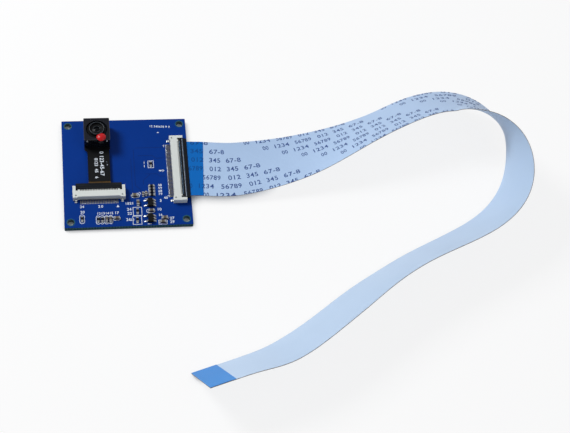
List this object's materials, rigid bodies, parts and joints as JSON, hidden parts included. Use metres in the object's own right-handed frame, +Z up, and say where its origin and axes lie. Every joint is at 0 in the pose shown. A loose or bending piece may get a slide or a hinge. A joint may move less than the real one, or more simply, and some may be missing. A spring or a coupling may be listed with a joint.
{
  "type": "camera module board",
  "caption": "Small square carrier board with a lens module on a flex tail, two flip-lock flat-cable connectors and a free flat cable.",
  "frame": {"origin": "centre of the board's underside", "axes": "+Z up out of the board's populated face, +X towards the flat cable's connector, +Y towards the lens"},
  "size_m": [0.1474, 0.1082, 0.024],
  "materials": {
    "circuit_board": "blue solder mask, satin gloss",
    "hole_plating": "tinned, soft sheen",
    "solder_pads": "tinned, bright",
    "sensor_connector_housing": "moulded, matt",
    "sensor_flip_lock": "moulded, satin",
    "sensor_connector_contacts": "tinned bronze",
    "sensor_connector_tabs": "tinned",
    "cable_connector_housing": "moulded, matt",
    "cable_flip_lock": "moulded, satin",
    "cable_connector_contacts": "tinned bronze",
    "cable_connector_tabs": "tinned",
    "module_pad": "closed-cell foam, matt",
    "module_plate": "plain",
    "camera_flex": "amber polyimide",
    "flex_coverlay": "black film, satin",
    "flex_stiffener": "amber polyimide",
    "flex_fingers": "gold plated",
    "image_sensor": "silicon under glass, glossy",
    "ir_filter": "tinted, polished",
    "lens_holder": "moulded, satin",
    "lens_barrel": "moulded, satin",
    "front_lens": "coated, polished",
    "rear_lens": "coated, polished",
    "lock_drop": "hard lacquer, glossy",
    "regulator_bodies": "moulded, matt",
    "regulator_leads": "tinned, bright",
    "resistor_bodies": "glazed",
    "capacitor_bodies": "fired, matt",
    "chip_terminals": "tinned, bright",
    "flat_cable": "white film, satin",
    "plugged_stiffener": "blue film, satin",
    "free_stiffener": "blue film, satin",
    "plugged_conductors": "tinned copper",
    "free_conductors": "tinned copper"
  },
  "bodies": {
    "board": {"circuit_board": "circuit_board", "hole_plating": "hole_plating", "solder_pads": "solder_pads", "sensor_connector_housing": "sensor_connector_housing", "sensor_connector_contacts": "sensor_connector_contacts", "sensor_connector_tabs": "sensor_connector_tabs", "cable_connector_housing": "cable_connector_housing", "cable_connector_contacts": "cable_connector_contacts", "cable_connector_tabs": "cable_connector_tabs", "module_pad": "module_pad", "module_plate": "module_plate", "camera_flex": "camera_flex", "flex_coverlay": "flex_coverlay", "flex_stiffener": "flex_stiffener", "flex_fingers": "flex_fingers", "image_sensor": "image_sensor", "ir_filter": "ir_filter", "lens_holder": "lens_holder", "lens_barrel": "lens_barrel", "front_lens": "front_lens", "rear_lens": "rear_lens", "lock_drop": "lock_drop", "regulator_bodies": "regulator_bodies", "regulator_leads": "regulator_leads", "resistor_bodies": "resistor_bodies", "capacitor_bodies": "capacitor_bodies", "chip_terminals": "chip_terminals", "flat_cable": "flat_cable", "plugged_stiffener": "plugged_stiffener", "free_stiffener": "free_stiffener", "plugged_conductors": "plugged_conductors", "free_conductors": "free_conductors"},
    "sensor_lock": {"sensor_flip_lock": "sensor_flip_lock"},
    "cable_lock": {"cable_flip_lock": "cable_flip_lock"}
  },
  "joints": [
    {"name": "sensor_lock_hinge", "type": "hinge", "parent": "board", "child": "sensor_lock", "pos_m": [-0.00895, -0.00695, 0.0032], "axis": [1, 0, 0], "range_deg": [0, 90]},
    {"name": "cable_lock_hinge", "type": "hinge", "parent": "board", "child": "cable_lock", "pos_m": [0.0175, 0, 0.0032], "axis": [0, -1, 0], "range_deg": [0, 90]}
  ]
}
